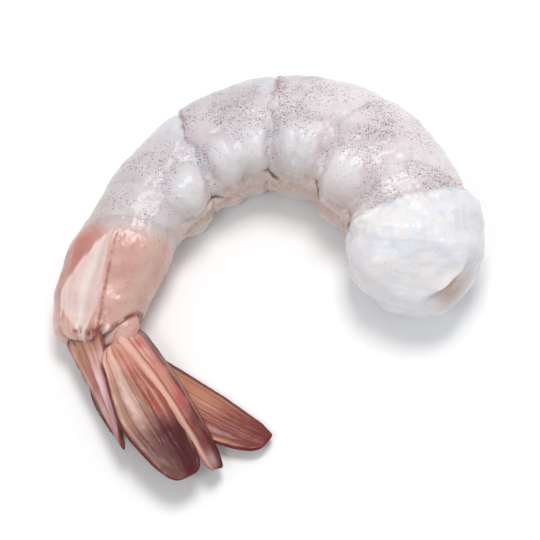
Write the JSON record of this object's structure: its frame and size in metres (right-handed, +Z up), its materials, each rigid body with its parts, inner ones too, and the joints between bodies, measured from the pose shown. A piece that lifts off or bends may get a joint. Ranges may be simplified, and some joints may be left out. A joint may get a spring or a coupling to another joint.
{
  "type": "raw tiger prawn",
  "caption": "Raw tiger prawn, peeled with its head off and its tail on, curled and lying on its side.",
  "frame": {"origin": "middle of the whole prawn seen from above, on the surface it lies on", "axes": "+Z up out of the prawn's right side, which is the side shown; the back of the curl faces +Y, and the tail fan points to -Y at the -X side"},
  "size_m": [0.0674, 0.0662, 0.019],
  "materials": {
    "flesh": "wet raw flesh, pale and translucent, with fine dark specks",
    "shell": "thin wet shell, salmon pink over the flesh",
    "fan": "thin ridged tail blades, brown pink turning dark purple at the tips"
  },
  "bodies": {
    "root": {"flesh": "flesh", "tail_shell": "shell", "telson": "fan", "fan_base_right": "shell", "fan_base_left": "shell", "inner_blade_right": "fan", "inner_blade_left": "fan", "outer_blade_right": "fan", "outer_blade_left": "fan"}
  },
  "joints": []
}
